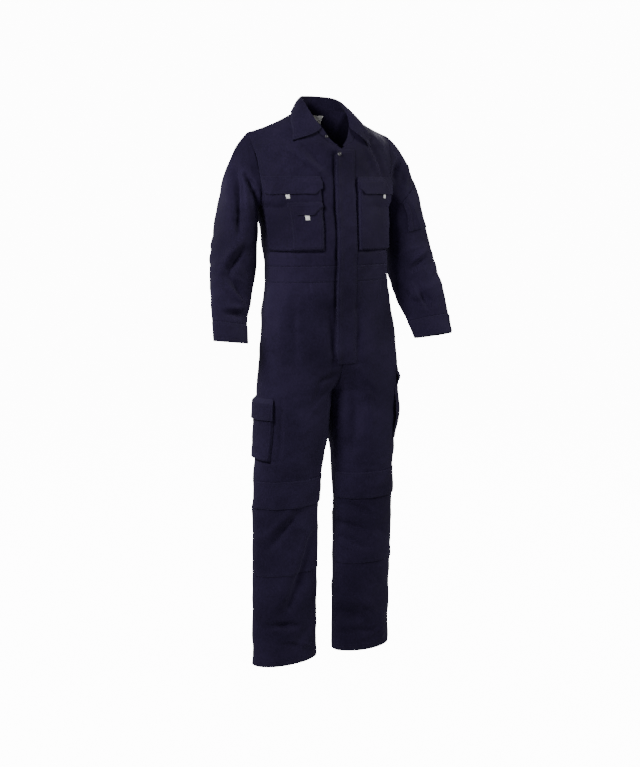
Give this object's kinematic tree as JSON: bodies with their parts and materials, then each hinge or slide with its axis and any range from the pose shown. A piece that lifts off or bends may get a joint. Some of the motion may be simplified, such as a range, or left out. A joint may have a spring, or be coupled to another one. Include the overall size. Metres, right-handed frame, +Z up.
{
  "type": "boiler suit",
  "caption": "Long-sleeved boiler suit with an open shirt collar, chest, sleeve and thigh pockets and knee pads, hollow as if worn.",
  "frame": {"origin": "middle of the neck, level with the point where shoulder seam and collar meet, where the wearer's shoulders hold the suit up", "axes": "+Z up the standing suit, -Y its front, +X the wearer's left"},
  "size_m": [0.76, 0.2321, 1.5972],
  "materials": {
    "navy_cloth": "matte twill",
    "label_white": "matte tape",
    "stud_metal": "dull nickel"
  },
  "bodies": {
    "root": {"back": "navy_cloth", "cargo_bag": "navy_cloth", "cargo_flap": "navy_cloth", "chest_bag_left": "navy_cloth", "chest_bag_right": "navy_cloth", "chest_flap_left": "navy_cloth", "chest_flap_right": "navy_cloth", "collar_leaf": "navy_cloth", "collar_stand": "navy_cloth", "cuff_left": "navy_cloth", "cuff_right": "navy_cloth", "cuff_tab": "navy_cloth", "front_left": "navy_cloth", "front_right": "navy_cloth", "hammer_loop": "navy_cloth", "knee_bag_left": "navy_cloth", "knee_bag_right": "navy_cloth", "knee_flap_left": "navy_cloth", "knee_flap_right": "navy_cloth", "leg_back_left": "navy_cloth", "leg_back_right": "navy_cloth", "leg_front_left": "navy_cloth", "leg_front_right": "navy_cloth", "neck_label": "label_white", "pen_bag": "navy_cloth", "pen_flap": "navy_cloth", "placket": "navy_cloth", "size_label": "label_white", "sleeve_left": "navy_cloth", "sleeve_pen_strip": "navy_cloth", "sleeve_pocket": "navy_cloth", "sleeve_right": "navy_cloth", "stud_collar_left": "stud_metal", "stud_collar_right": "stud_metal", "stud_top": "stud_metal", "tab_chest_left": "label_white", "tab_chest_right": "label_white", "tab_pen": "label_white", "tool_strap": "navy_cloth", "waistband_back": "navy_cloth", "waistband_left": "navy_cloth", "waistband_right": "navy_cloth"}
  },
  "joints": []
}
